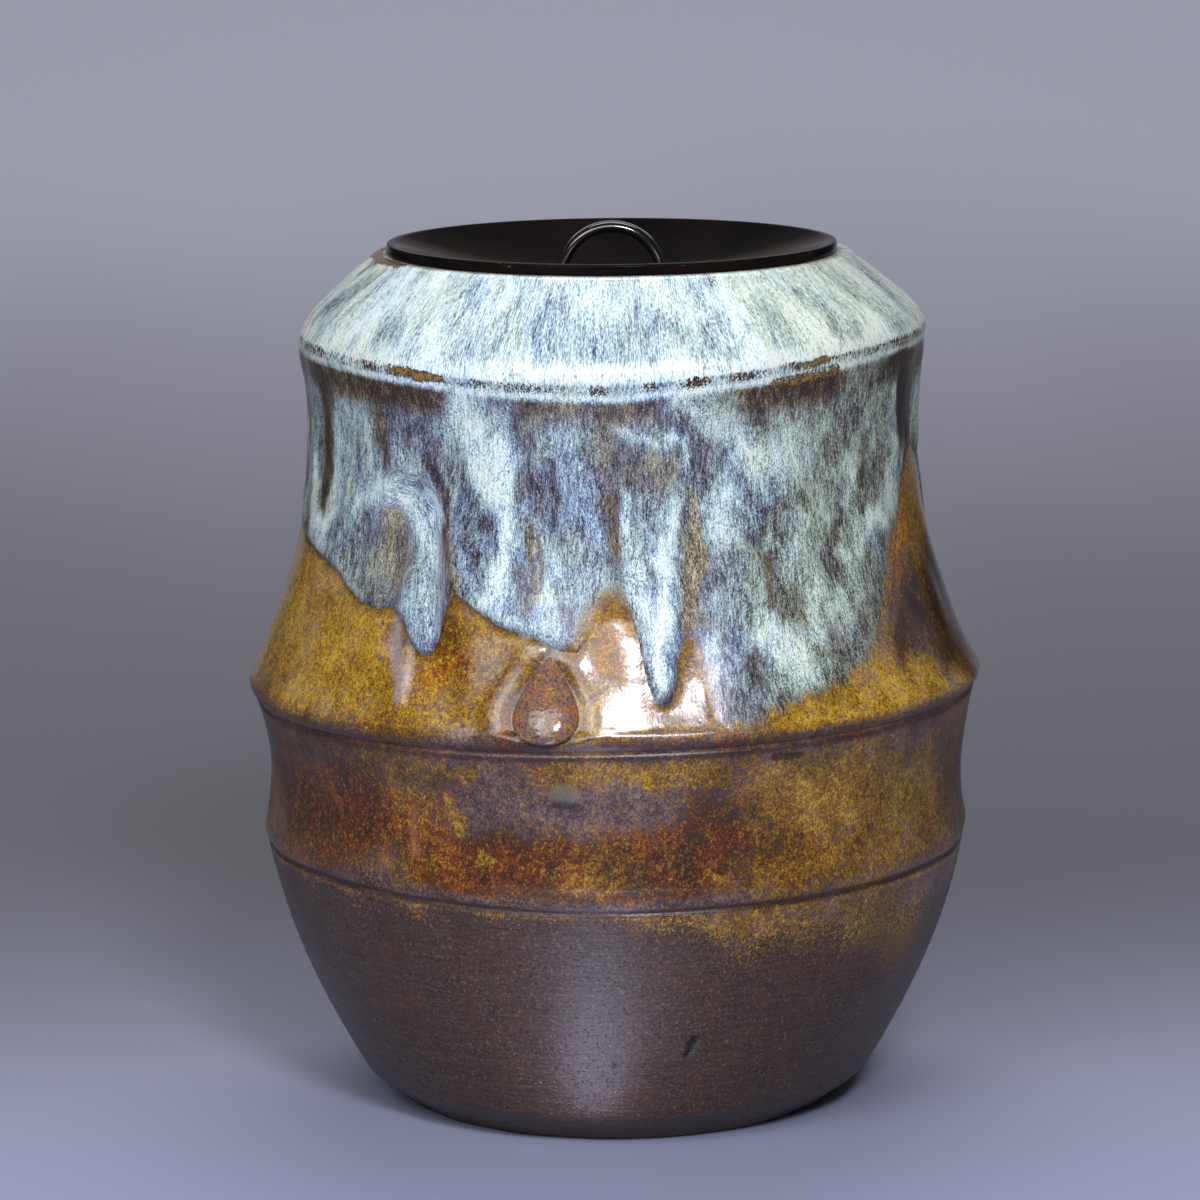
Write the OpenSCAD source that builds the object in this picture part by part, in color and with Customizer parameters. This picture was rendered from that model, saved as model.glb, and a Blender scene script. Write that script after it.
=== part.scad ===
// Lidded stoneware water jar for the tea room.
// A thrown jar with three ridges, a poured glaze coat that has run down from its shoulder,
// a drop of glaze that hangs from one run, and a lacquered lid with an arched knob.
// Millimetres, +Z up, origin on the table under the middle of the foot.

/* [Jar outline] */
// Height of the lip above the table
jar_h = 187.5; // [182:0.5:200]
// Radius of the lip's outer edge
lip_r = 54.5; // [51:0.1:58]
// Radius of the open mouth
mouth_r = 46; // [40:0.5:47]
// Radius of the shoulder ridge
shoulder_r = 68.2; // [67:0.1:74]
// Height of the shoulder ridge
shoulder_z = 170.5; // [164:0.5:174]
// Radius of the waist, the slimmest part of the upper wall
waist_r = 66; // [60:0.5:67]
// Height of the waist
waist_z = 151; // [140:0.5:156]
// Radius of the belly ridge, the widest part
belly_r = 80.6; // [79:0.2:90]
// Height of the belly ridge
belly_z = 94; // [86:0.5:100]
// Radius of the hollow between the two lower ridges
band_r = 76.4; // [72:0.2:77]
// Height of that hollow
band_z = 74.5; // [70:0.5:80]
// Radius of the low ridge
low_r = 77.7; // [77.2:0.1:82]
// Height of the low ridge
low_z = 61.5; // [54:0.5:65]
// Radius of the corner that the lower wall's curve bends round
bowl_r = 73.4; // [69:0.2:77]
// Height of that corner
bowl_z = 36; // [30:0.5:44]
// Radius at the top of the foot bevel
bevel_r = 56.4; // [52:0.2:64]
// Height of the foot bevel
bevel_h = 7.4; // [4:0.2:12]
// Radius of the foot on the table
foot_r = 46.5; // [42:0.5:52]

/* [Jar wall] */
// Thickness of the wall, measured level
wall = 5.5; // [4:0.5:7]
// Thickness of the floor
floor_t = 8; // [6:0.5:12]
// Radius of the inside corner between floor and wall
floor_round = 12; // [6:1:20]
// Depth of the straight edge inside the mouth
mouth_edge = 2.2; // [1:0.2:4]
// Rounding of the lip's outer edge
lip_round = 1.3; // [0.6:0.1:2]
// Width of the ring that the foot stands on
foot_ring_w = 9; // [6:0.5:14]
// Depth of the hollow turned under the foot
foot_hollow = 1.6; // [1:0.2:4]

/* [Ridges] */
// Half the height of a rounded ridge crest
crest_half = 2.2; // [1.5:0.1:3]
// How far the belly ridge's crest stands out
belly_rise = 0.9; // [0.4:0.1:1.4]
// How far the low ridge's crest stands out
low_rise = 0.4; // [0.2:0.1:0.7]
// Radius of the line cut under each of the two lower ridges
groove_r = 0.6; // [0.3:0.1:1]
// Drop from a crest down to its cut line
groove_drop = 2.9; // [2.5:0.1:4]

/* [Glaze coat] */
// Bare height under the lip's rounding, wiped clean of glaze
lip_bare = 0.3; // [0.1:0.1:3]
// Thickness of the coat between its runs
coat_t = 0.5; // [0.3:0.1:0.9]
// Extra thickness on the crown of a run
run_t = 1.4; // [0.4:0.1:2]
// Height of the coat's lower edge between its runs
hem_z = 136; // [128:0.5:146]
// Gap between the clay and the glaze pieces on it
glaze_seat = 0.05; // [0.02:0.01:0.2]

/* [Glaze drop] */
// Direction of the drop, from the front towards the right
drop_az = -10.6; // [-16:0.2:-8]
// Length of the drop
drop_len = 19.5; // [14:0.5:22]
// Radius of the drop about its own axis
drop_r = 7.8; // [6:0.2:9]
// Depth of the drop's axis in the wall at its round end
drop_sink = 5; // [4:0.2:5.4]
// Gap between the drop's tip and the run above it
drop_gap = 0.3; // [0.2:0.1:1]

/* [Lid] */
// Width of the lid's edge that rests on the lip
lid_seat = 3.2; // [2:0.1:4]
// Height of the lid's edge
rim_t = 2.4; // [1.8:0.1:4]
// Width of the level band along the lid's edge
rim_w = 1.6; // [1:0.1:3]
// Rounding of the lid's edge
rim_round = 0.5; // [0.2:0.1:0.8]
// Depth of the dished top
dish_depth = 8.5; // [5:0.5:10]
// Thickness of the lid at the dish
lid_t = 3.4; // [3:0.1:5]
// Height of the flange that drops into the mouth
flange_h = 4; // [3.5:0.1:5]
// Width of the flange
flange_w = 6; // [4:0.5:9]
// Gap between the flange and the mouth
flange_clear = 1.2; // [0.5:0.1:2]

/* [Knob] */
// Width of the arch across its legs
knob_w = 24.2; // [18:0.2:30]
// Straight height of each leg above the dish
knob_leg = 0.2; // [0.1:0.1:6]
// Thickness of the bent strip
knob_bar = 2.4; // [2:0.1:3]
// Depth of the strip from front to back
knob_d = 5.6; // [4:0.2:8]
// Length of each leg's tenon in the lid
tenon_h = 2.2; // [1.5:0.1:2.4]
// Gap round a tenon in its mortice
mortice_clear = 0.05; // [0.02:0.01:0.2]

/* [Hidden] */
$fn = 128;

// How fast a hollow flares towards its ridge
flare_power = 1.8;
// Steps along a flare, half a crest, a bend and the long bend of the lower wall
flare_steps = 9;
crest_steps = 2;
bend_steps = 4;
bowl_steps = 10;

// Outlines are [radius, height] points, worked out by three kinds of curve.
// A flare leaves a hollow upright and leans out faster as it nears the ridge
function flare(hollow, ridge) = [
    for (i = [0:flare_steps])
        let (t = i / flare_steps)
        hollow + [(ridge.x - hollow.x) * pow(t, flare_power), (ridge.y - hollow.y) * t]
];

// A crest is the rounded top of a ridge
function crest(r, z, rise) = [
    for (i = [-crest_steps:crest_steps])
        let (t = i / crest_steps)
        [r - rise * t * t, z + crest_half * t]
];

// A bend rounds the corner where two straight stretches would meet
function bend(a, corner, b, steps = bend_steps) = [
    for (i = [0:steps])
        let (t = i / steps)
        a * pow(1 - t, 2) + corner * 2 * t * (1 - t) + b * t * t
];

// The list without its first point, or turned end for end
function tail(points) = [for (i = [1:len(points) - 1]) points[i]];
function reversed(points) = [for (i = [len(points) - 1:-1:0]) points[i]];

// Stations of the outside wall
waist = [waist_r, waist_z];
hollow = [band_r, band_z];
bowl = [bowl_r, bowl_z];
shoulder = [shoulder_r, shoulder_z];
lip = [lip_r, jar_h - lip_round];
// The shoulder is a cone that swells a little and turns down into its ridge
cone_share = 0.42;
cone_swell = 0.9;
cone_end = shoulder + (lip - shoulder) * cone_share + [cone_swell, cone_swell];
cone_corner = [shoulder_r, shoulder_z + (cone_end.y - shoulder_z) * cone_share];

belly_crest = crest(belly_r, belly_z, belly_rise);
low_crest = crest(low_r, low_z, low_rise);

outside = concat(
    [[foot_r, 0]],
    bend([bevel_r, bevel_h], bowl, low_crest[0], bowl_steps),
    tail(low_crest),
    tail(reversed(flare(hollow, low_crest[2 * crest_steps]))),
    tail(flare(hollow, belly_crest[0])),
    tail(belly_crest),
    tail(reversed(flare(waist, belly_crest[2 * crest_steps]))),
    tail(flare(waist, shoulder)),
    tail(bend(shoulder, cone_corner, cone_end)),
    [lip, [lip_r - lip_round, jar_h]]
);

// Stations of the inside wall, one wall inside the outer ones and smooth behind the ridges
in_wall = [wall, 0];
in_corner = [bevel_r - wall, floor_t];
in_rise = in_corner + floor_round * (bowl - in_wall - in_corner) / norm(bowl - in_wall - in_corner);
in_belly = [belly_r - belly_rise - wall, belly_z];

inside = concat(
    [[0, floor_t]],
    bend(in_corner - [floor_round, 0], in_corner, in_rise),
    tail(bend(in_rise, bowl - in_wall, [low_r - wall, low_z], bowl_steps)),
    flare(hollow - in_wall, in_belly),
    tail(reversed(flare(waist - in_wall, in_belly))),
    tail(flare(waist - in_wall, shoulder - [wall, wall / 2])),
    [[mouth_r, jar_h - mouth_edge], [mouth_r, jar_h]]
);

under_foot = [
    [0, foot_hollow],
    [foot_r - foot_ring_w, foot_hollow],
    [foot_r - foot_ring_w, 0]
];

// Radius of the outside wall at a height
wall_table = [for (p = outside) [p.y, p.x]];
function wall_r(z) = lookup(z, wall_table);

// Glaze runs: direction from the front towards the right, half width in degrees,
// and length as a share of the room between the hem and the belly ridge
RUNS = [
    [-84, 12, 0.2], [-63, 18, 0.33], [-46, 12, 0.48], [-32, 6, 0.65], [-12, 14, 0.58],
    [7, 6, 0.85], [20, 8, 0.98], [34, 12, 0.93], [47, 10, 0.75], [58, 8, 0.3],
    [95, 12, 0.3], [118, 8, 0.68], [138, 16, 0.5], [162, 7, 0.85], [183, 14, 0.4],
    [205, 9, 0.73], [226, 14, 0.45], [249, 7, 0.78], [264, 12, 0.35]
];
// Columns of the coat round the jar, and rows from under the shoulder ridge to the hem
coat_columns = 144;
coat_rows = 8;
// Crowding of those rows towards the hem, whose last row is a thin rounded edge
row_crowding = 1.5;
edge_share = 0.4;
// Height over which a run swells, half of it above the hem
swell_h = 34;
// How far below the shoulder ridge the coat's rows stay level
level_drop = 5.5;

// How far apart two directions are, as a share of a run's half width
function off_run(az, run) = abs((az - run[0] + 900) % 360 - 180) / run[1];
// Blunt rounded end of a run, from its middle line at 0 to its side at 1
function finger(x) = x < 1 ? sqrt(1 - pow(x, 4)) : 0;
run_room = hem_z - belly_z - crest_half;
function hem(az) = hem_z - run_room * max([for (run = RUNS) run[2] * finger(off_run(az, run))]);
// A run is thickest along its middle, and swells as it nears the hem
function crown(az) = max([for (run = RUNS) max(0, 1 - pow(off_run(az, run), 2))]);
function swell(az, z) = crown(az) * min(1, max(0, (hem_z + swell_h / 2 - z) / swell_h));
function coat_depth(az, z) = coat_t + run_t * swell(az, z);

coat_top = lip.y - lip_bare;
// The lowest row that keeps one height all round lies on the wall under the shoulder ridge
coat_fixed = [
    coat_top,
    for (p = reversed(outside)) if (p.y < coat_top - coat_t && p.y > shoulder_z - level_drop) p.y
];
fixed_rows = len(coat_fixed);
all_rows = fixed_rows + coat_rows;

function row_z(az, row) =
    row < fixed_rows
        ? coat_fixed[row]
        : let (
            start = coat_fixed[fixed_rows - 1],
            left = pow(1 - (row - fixed_rows + 1) / coat_rows, row_crowding)
        ) hem(az) + (start - hem(az)) * left;

function coat_point(column, row, outer) =
    let (
        az = 360 * column / coat_columns,
        z = row_z(az, row),
        edge = row == 0 || row == all_rows - 1 ? edge_share : 1,
        r = wall_r(z) + glaze_seat + (outer ? coat_depth(az, z) * edge : 0)
    ) [r * sin(az), -r * cos(az), z];

// Point numbers: each column holds its outer rows, then its inner rows
function coat_index(column, row, outer) =
    (column % coat_columns) * 2 * all_rows + row + (outer ? 0 : all_rows);

// Two triangles over four corners
function patch(a, b, c, d) = [[a, b, c], [a, c, d]];

function coat_skin(column, row, outer) =
    let (
        a = coat_index(column, row, outer),
        b = coat_index(column + 1, row, outer),
        c = coat_index(column + 1, row + 1, outer),
        d = coat_index(column, row + 1, outer)
    ) outer ? patch(a, b, c, d) : patch(a, d, c, b);

function coat_edge(column, row) =
    let (
        a = coat_index(column, row, true),
        b = coat_index(column + 1, row, true),
        c = coat_index(column + 1, row, false),
        d = coat_index(column, row, false)
    ) row == 0 ? patch(a, d, c, b) : patch(a, b, c, d);

// Lid heights and radii, all taken from the jar's mouth
lid_r = mouth_r + lid_seat;
rim_top = jar_h + rim_t;
dish_r = lid_r - rim_w;
dish_z = rim_top - dish_depth;
flange_r = mouth_r - flange_clear;
flange_z = jar_h - flange_h;
dish_steps = 12;
function dish_height(r) = dish_z + dish_depth * pow(r / dish_r, 2);

lid_outline = concat(
    [for (i = [0:dish_steps]) let (r = dish_r * i / dish_steps) [r, dish_height(r)]],
    bend([lid_r - rim_round, rim_top], [lid_r, rim_top], [lid_r, rim_top - rim_round]),
    bend([lid_r, jar_h + rim_round], [lid_r, jar_h], [lid_r - rim_round, jar_h]),
    [[flange_r, jar_h], [flange_r, flange_z], [flange_r - flange_w, flange_z]],
    [
        for (i = [dish_steps - 1:-1:0])
            let (r = (flange_r - flange_w) * i / dish_steps)
            [r, min(dish_height(r) - lid_t, flange_z)]
    ]
);

// Knob heights, from the dish at its legs
knob_leg_x = (knob_w - knob_bar) / 2;
leg_z = dish_height(knob_leg_x);
arch_z = leg_z + knob_leg;
tenon_z = leg_z - tenon_h;

// The jar's outside as a full solid, grown by a gap
module jar_outside(grow) {
    rotate_extrude()
        polygon(concat([[0, 0]], [for (p = outside) p + [grow, 0]], [[0, jar_h]]));
}

// Round line cut under a ridge
module groove(z) {
    translate([wall_r(z), z]) circle(r = groove_r);
}

// Section of the bent strip: thin, with round front and back edges
module strip_section(grow) {
    flat = knob_d - knob_bar;
    square([knob_bar + 2 * grow, flat], center = true);
    for (side = [-1, 1])
        translate([0, side * flat / 2]) circle(d = knob_bar + 2 * grow);
}

// Thrown stoneware jar, open at the mouth and hollow inside
module jar_body() {
    color("#7a5636")
        rotate_extrude()
            difference() {
                polygon(concat(under_foot, outside, reversed(inside)));
                groove(belly_z - groove_drop);
                groove(low_z - groove_drop);
            }
}

// Pale ash glaze poured over the shoulder, with its runs
module glaze_coat() {
    color("#a9bcc4")
        polyhedron(
            points = [
                for (column = [0:coat_columns - 1], outer = [true, false], row = [0:all_rows - 1])
                    coat_point(column, row, outer)
            ],
            faces = concat(
                [
                    for (column = [0:coat_columns - 1], row = [0:all_rows - 2], outer = [true, false])
                        each coat_skin(column, row, outer)
                ],
                [
                    for (column = [0:coat_columns - 1], row = [0, all_rows - 1])
                        each coat_edge(column, row)
                ]
            )
        );
}

// Drop of amber glaze on the belly, seated on the clay
module glaze_drop() {
    drop_top = hem(drop_az) - drop_gap;
    drop_foot = drop_top - drop_len;
    lean = wall_r(drop_foot) - drop_sink - wall_r(drop_top);
    axis_len = norm([lean, drop_len]);
    // The widest part of a curve sin(t) * sin(t / 2), which brings the drop to its radius
    widest = 0.77;
    turn_steps = 14;
    drop_outline = [
        for (i = [0:turn_steps])
            let (t = 180 * i / turn_steps)
            [drop_r * sin(t) * sin(t / 2) / widest, axis_len * (cos(t) - 1) / 2]
    ];
    color("#6b3f1f")
        difference() {
            rotate([0, 0, drop_az])
                translate([0, -wall_r(drop_top), drop_top])
                    rotate([-atan2(lean, drop_len), 0, 0])
                        rotate_extrude() polygon(drop_outline);
            jar_outside(glaze_seat);
        }
}

// Turned lid in black lacquer: a dish above, a flange below
module lid() {
    color("#1b1512")
        difference() {
            rotate_extrude() polygon(lid_outline);
            for (side = [-1, 1])
                translate([side * knob_leg_x, 0, tenon_z - mortice_clear])
                    linear_extrude(tenon_h + dish_depth) strip_section(mortice_clear);
        }
}

// Arched knob of bent strip, let into the lid by a tenon at each leg
module knob_arch() {
    color("#121014") {
        translate([0, 0, arch_z])
            rotate([90, 0, 0])
                rotate_extrude(angle = 180) translate([knob_leg_x, 0]) strip_section(0);
        for (side = [-1, 1])
            translate([side * knob_leg_x, 0, tenon_z])
                linear_extrude(knob_leg + tenon_h) strip_section(0);
    }
}

jar_body();
glaze_coat();
glaze_drop();
lid();
knob_arch();
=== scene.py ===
import math

import bpy
import numpy as np
from mathutils import Matrix, Vector
from mathutils.bvhtree import BVHTree


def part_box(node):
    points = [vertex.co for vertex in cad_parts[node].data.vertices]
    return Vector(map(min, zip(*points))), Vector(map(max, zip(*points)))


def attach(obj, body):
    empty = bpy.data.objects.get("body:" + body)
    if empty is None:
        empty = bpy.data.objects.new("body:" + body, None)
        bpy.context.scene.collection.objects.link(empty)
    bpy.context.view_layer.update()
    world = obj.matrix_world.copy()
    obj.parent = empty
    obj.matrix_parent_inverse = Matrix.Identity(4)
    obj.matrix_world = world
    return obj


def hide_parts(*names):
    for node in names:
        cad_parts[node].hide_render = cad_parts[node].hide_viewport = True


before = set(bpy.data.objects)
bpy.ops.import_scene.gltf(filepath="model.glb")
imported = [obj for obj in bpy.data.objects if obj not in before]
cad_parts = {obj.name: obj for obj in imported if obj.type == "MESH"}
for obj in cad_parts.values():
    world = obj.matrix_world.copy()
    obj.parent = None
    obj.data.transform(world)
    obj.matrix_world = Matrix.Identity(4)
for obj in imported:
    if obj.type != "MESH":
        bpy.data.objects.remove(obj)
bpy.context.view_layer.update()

# The pieces are worked out in millimetres and degrees. Azimuth 0 is the front, and grows to the right.
MM = 0.001
SEED = 11
# A middling radius of the wall, and what one degree spans there
MEAN_R = 70
DEG_MM = math.radians(1) * MEAN_R
# Heights of the jar's three ridges
SHOULDER_Z, BELLY_Z, LOW_Z = 170.5, 93, 60


# Numbers and lines

def smooth(low, high, x):
    """From 0 at low to 1 at high, with soft ends."""
    t = np.clip((x - low) / (high - low), 0, 1)
    return t * t * (3 - 2 * t)


def bell(x, width):
    """1 where x is 0, and almost nothing at twice the width."""
    return np.exp(-(x / width) ** 2)


def lay(field, level, cover):
    """Brings a field to a level, as far as the cover says."""
    return field + (level - field) * cover


def wrap(az):
    return (np.asarray(az, float) + 180) % 360 - 180


def sector(az, start, full, ending, end):
    """1 between two azimuths, with soft ends."""
    return smooth(start, full, wrap(az)) * smooth(end, ending, wrap(az))


def between(points, az):
    """Level at each azimuth, from (azimuth, level) points."""
    a, level = np.array(points, float).T
    return np.interp(wrap(az), a, level)


def ripple(az, z, size, seed):
    """Smooth random field, about -1 to 1, with features of that many millimetres."""
    rng = np.random.default_rng(seed)
    waves = 6
    total = 0
    for wave in range(waves):
        turns = max(1, round(2 * math.pi * MEAN_R / size * rng.uniform(0.5, 1.1)))
        up = rng.uniform(-1, 1) * 2 * math.pi / size
        total = total + np.sin(np.radians(az) * turns + z * up + rng.uniform(0, 6.28))
    return total / (waves / 2)


def along(az, z, points):
    """Distance from a line of (azimuth, height, half width) points as a share of the half width, how far
    to the side of it, and how far along it."""
    best = np.full(np.broadcast(az, z).shape, 1e3)
    side, length, start = best.copy(), 0 * best, 0.0
    points = points if len(points) > 1 else points * 2
    for (a0, z0, w0), (a1, z1, w1) in zip(points, points[1:]):
        x, y = wrap(az - a0) * DEG_MM, z - z0
        dx, dy = float(wrap(a1 - a0)) * DEG_MM, z1 - z0
        long = max(math.hypot(dx, dy), 1e-6)
        free = (x * dx + y * dy) / long ** 2
        t = np.clip(free, 0, 1)
        share = np.hypot(x - t * dx, y - t * dy) / (w0 + (w1 - w0) * t)
        near = share < best
        best = np.where(near, share, best)
        side = np.where(near, (y * dx - x * dy) / long, side)
        length = np.where(near, start + free * long, length)
        start += long
    return best, side, length


def line_distance(az, z, points):
    """Distance from a line, as a share of its half width."""
    return along(az, z, points)[0]


def paint(field, az, z, strokes, stray=1.0):
    """Lays strokes over a field, with soft edges that stray a little."""
    loose_az = az + stray * (1.1 * ripple(az, z, 13, 101) + 0.5 * ripple(az, z, 5, 103)) / DEG_MM
    loose_z = z + stray * (1.3 * ripple(az, z, 13, 102) + 0.5 * ripple(az, z, 5, 104))
    for level, *points in strokes:
        field = lay(field, level, 1 - smooth(0.1, 2.0, line_distance(loose_az, loose_z, points)))
    return field


# The jar's outline, read from its solid

def solid_tree(node):
    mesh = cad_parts[node].data
    return BVHTree.FromPolygons([v.co / MM for v in mesh.vertices], [p.vertices for p in mesh.polygons])


jar_tree = solid_tree("jar_body")
jar_foot, jar_top = (corner.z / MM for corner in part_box("jar_body"))
# Where the wall ends and the round of the lip starts
LIP_Z = jar_top - 1.3


def wall_table(outside):
    """Heights, and the wall's outer or inner radius at each."""
    way = Vector((math.sin(0.3), -math.cos(0.3), 0))
    far, first, step = 200, 0.05, 0.2
    heights, radii = [], []
    for z in np.arange(first, jar_top, step):
        level = Vector((0, 0, z))
        start, aim = (level + way * far, -way) if outside else (level, way)
        hit = jar_tree.ray_cast(start, aim)[0]
        if hit:
            heights.append(z)
            radii.append(math.hypot(hit.x, hit.y))
    return np.array(heights), np.array(radii)


OUT_Z, OUT_R = wall_table(True)
IN_Z, IN_R = wall_table(False)
# The thrown lip draws in a little more than the plain cone does
OUT_R = OUT_R - np.interp(OUT_Z, [177, 187], [0, 1.4])


def out_r(z):
    return np.interp(z, OUT_Z, OUT_R)


def in_r(z):
    return np.interp(z, IN_Z, IN_R)


# The ridges sag and tilt as hand work does: height, reach, sag at the front, tilt to the right
RIDGES = [(SHOULDER_Z, 9, -2.7, 1.5), (BELLY_Z, 8, 0.2, 1.2), (LOW_Z, 9, -1.6, 0.4)]


def hand_shift(az, z):
    """How far a point of the wall is moved up."""
    a = np.radians(az)
    front = bell(wrap(az), 48)
    total = 0
    for height, reach, sag, tilt in RIDGES:
        back = 0.7 * np.sin(2 * a + height) * (1 - front)
        total = total + bell(z - height, reach) * (sag * front + tilt * np.sin(a) + back)
    return total


def ridge_line(az, height):
    """Height of a ridge, with its sag and tilt."""
    return height + hand_shift(az, height)


# The pale coat's lower edge

# On the front, chosen from the photograph: azimuth, height
HEM_FRONT = [
    (-96, 131.4), (-88, 130), (-81, 128.8), (-71, 127), (-62.3, 125), (-57, 123.4), (-53.6, 121),
    (-49.6, 118.6), (-44.7, 117.3), (-41, 118.6), (-38.6, 117), (-36.6, 113.6), (-35.2, 111.4),
    (-33.6, 110), (-32.1, 109.8), (-30.8, 111), (-30.2, 114), (-29.8, 119.5), (-28.6, 122.8),
    (-25.1, 120.3), (-19.3, 116.6), (-14, 114.8), (-11.4, 113.4), (-10.2, 112.6), (-8.5, 111.6),
    (-6, 111.4), (-4.4, 114), (-3, 118), (0, 120.6), (2.8, 119), (4, 114), (4.9, 108), (5.6, 103.8),
    (6.4, 102), (7.3, 101.3), (8.4, 102.1), (9.3, 104.6), (10, 110), (11.2, 113), (12.4, 112), (13.6, 107),
    (14.6, 101), (15.4, 97), (17, 95), (20, 94.4), (22.6, 95), (25.1, 97), (30, 98.4), (35.1, 98.4),
    (40, 100), (45.2, 102.6), (50, 107), (54.7, 114.6), (58, 121), (62, 128.8), (65, 134.6), (68, 140),
    (71, 145.5), (76, 148), (84, 143), (92, 130),
]
# Where that edge is a soft fade and not a bead: azimuth, width in millimetres
HEM_SOFT = [
    (-180, 1.8), (-50, 1.8), (-44, 3), (-40, 1.8), (-11.5, 1.8), (-9, 3.4), (-5, 5), (0, 5.5), (3, 4),
    (4.6, 2.3), (8.6, 1.6), (10.4, 2.6), (12, 5), (15, 4), (20, 4), (24, 4), (30, 4.5), (45, 6), (60, 5),
    (66, 3), (76, 1.8), (180, 1.8),
]


def cad_hem(az):
    """Lowest point of the coat's solid at each azimuth."""
    at = np.array([v.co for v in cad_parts["glaze_coat"].data.vertices]) / MM
    column = np.round(np.degrees(np.arctan2(at[:, 0], -at[:, 1])), 2)
    found = sorted({c: at[column == c, 2].min() for c in np.unique(column)}.items())
    a, low = np.array(found).T
    return np.interp(az, np.concatenate([a - 360, a, a + 360]), np.tile(low, 3))


def hem_line():
    """The whole edge: the front as chosen, the back from the solid."""
    front = np.array(HEM_FRONT, float)
    back = np.arange(front[-1, 0] + 8, front[0, 0] + 360 - 4, 1.5)
    low = np.mean([cad_hem(wrap(back + step)) for step in (-3, -1.5, 0, 1.5, 3)], axis=0)
    low = low + 1.2 * ripple(back, 0 * back, 14, SEED)
    return np.concatenate([front[:, 0], back]), np.concatenate([front[:, 1], low])


HEM_AZ, HEM_Z = hem_line()


def hem_distance(az, z):
    """Millimetres inside the coat's edge, negative outside."""
    a, h = np.append(HEM_AZ, HEM_AZ[0] + 360), np.append(HEM_Z, HEM_Z[0])
    level = np.interp(HEM_AZ[0] + (az - HEM_AZ[0]) % 360, a, h)
    near = line_distance(az, z, [(x, y, 1.0) for x, y in zip(a, h)])
    return np.where(z > level, near, -near)
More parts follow.
